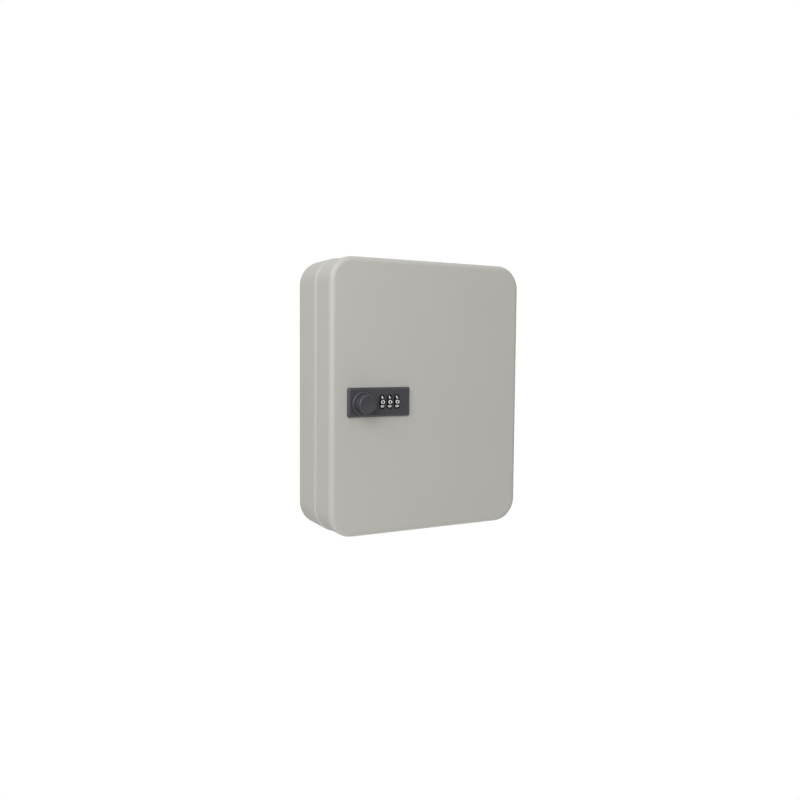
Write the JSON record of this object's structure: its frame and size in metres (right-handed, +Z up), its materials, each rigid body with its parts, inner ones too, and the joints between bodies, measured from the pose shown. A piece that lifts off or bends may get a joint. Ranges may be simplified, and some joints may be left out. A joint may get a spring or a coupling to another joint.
{
  "type": "key cabinet",
  "caption": "Wall-hung steel key cabinet with a hinged door, hook rails inside and a dial-combination knob lock with a turning latch tongue.",
  "frame": {"origin": "centre of the wall holes on the back face, which lies on the wall, at the cabinet's mid-height", "axes": "+X to the right seen from the front, +Y into the wall, +Z up; the door's face looks along -Y"},
  "size_m": [0.2017, 0.0903, 0.25],
  "materials": {
    "cabinet_paint": "satin light grey-beige powder coat with a fine texture",
    "rack_steel": "thin pale grey paint on folded steel",
    "zinc_steel": "bright zinc plate",
    "lock_paint": "satin charcoal paint on die-cast zinc",
    "knob_paint": "satin charcoal paint on die-cast zinc",
    "die_cast": "bare grey zinc casting",
    "dial_plastic": "black moulded plastic with white digits",
    "brass": "turned brass",
    "label_card": "white printed plastic film"
  },
  "bodies": {
    "cabinet": {"body_shell": "cabinet_paint", "body_hinge_leaf": "zinc_steel", "hinge_pin": "zinc_steel", "body_upright_left": "rack_steel", "body_upright_right": "rack_steel", "body_key_rail_1": "rack_steel", "body_key_rail_2": "rack_steel", "body_key_rail_3": "rack_steel", "body_key_rail_4": "rack_steel", "body_hook_labels": "label_card"},
    "door": {"door_shell": "cabinet_paint", "door_hinge_leaf": "zinc_steel", "door_upright_left": "rack_steel", "door_upright_right": "rack_steel", "door_key_rail_1": "rack_steel", "door_key_rail_2": "rack_steel", "door_key_rail_3": "rack_steel", "door_key_rail_4": "rack_steel", "door_hook_labels": "label_card", "lock_faceplate": "lock_paint", "knob_collar": "lock_paint", "lock_housing": "die_cast", "lock_saddle": "zinc_steel", "lock_saddle_screws": "zinc_steel", "dial_axle": "zinc_steel", "dial_detent_comb": "zinc_steel"},
    "knob_set": {"knob": "knob_paint", "knob_spindle": "zinc_steel", "snail_cam": "brass", "latch_tongue": "zinc_steel", "tongue_washer": "zinc_steel", "tongue_nut": "zinc_steel"},
    "bar_slider": {"locking_bar": "zinc_steel"},
    "dial_1": {"dial_wheel_1": "dial_plastic", "code_disc_1": "brass"},
    "dial_2": {"dial_wheel_2": "dial_plastic", "code_disc_2": "brass"},
    "dial_3": {"dial_wheel_3": "dial_plastic", "code_disc_3": "brass"},
    "change_cam": {"code_change_cam": "brass"}
  },
  "joints": [
    {"name": "door_hinge", "type": "hinge", "parent": "cabinet", "child": "door", "pos_m": [0.09933, -0.0434, 0], "axis": [0, 0, 1], "range_deg": [0, 160]},
    {"name": "knob_turn", "type": "hinge", "parent": "door", "child": "knob_set", "pos_m": [-0.0696, -0.08, -0.00465], "axis": [0, 1, 0], "range_deg": [0, 90]},
    {"name": "bar_slide", "type": "slide", "parent": "door", "child": "bar_slider", "axis": [1, 0, 0], "range_m": [0, 0.0017]},
    {"name": "dial_1_turn", "type": "hinge", "parent": "door", "child": "dial_1", "pos_m": [-0.0504, -0.0726, -0.00375], "axis": [1, 0, 0], "continuous": true},
    {"name": "dial_2_turn", "type": "hinge", "parent": "door", "child": "dial_2", "pos_m": [-0.0431, -0.0726, -0.00375], "axis": [1, 0, 0], "continuous": true},
    {"name": "dial_3_turn", "type": "hinge", "parent": "door", "child": "dial_3", "pos_m": [-0.0358, -0.0726, -0.00375], "axis": [1, 0, 0], "continuous": true},
    {"name": "code_change_turn", "type": "hinge", "parent": "door", "child": "change_cam", "pos_m": [-0.0431, -0.0605, 0.00275], "axis": [0, 1, 0], "range_deg": [0, 90]}
  ],
  "couplings": [
    {"joint": "bar_slide", "follows": "knob_turn", "m_per_rad": 0.0010822}
  ]
}
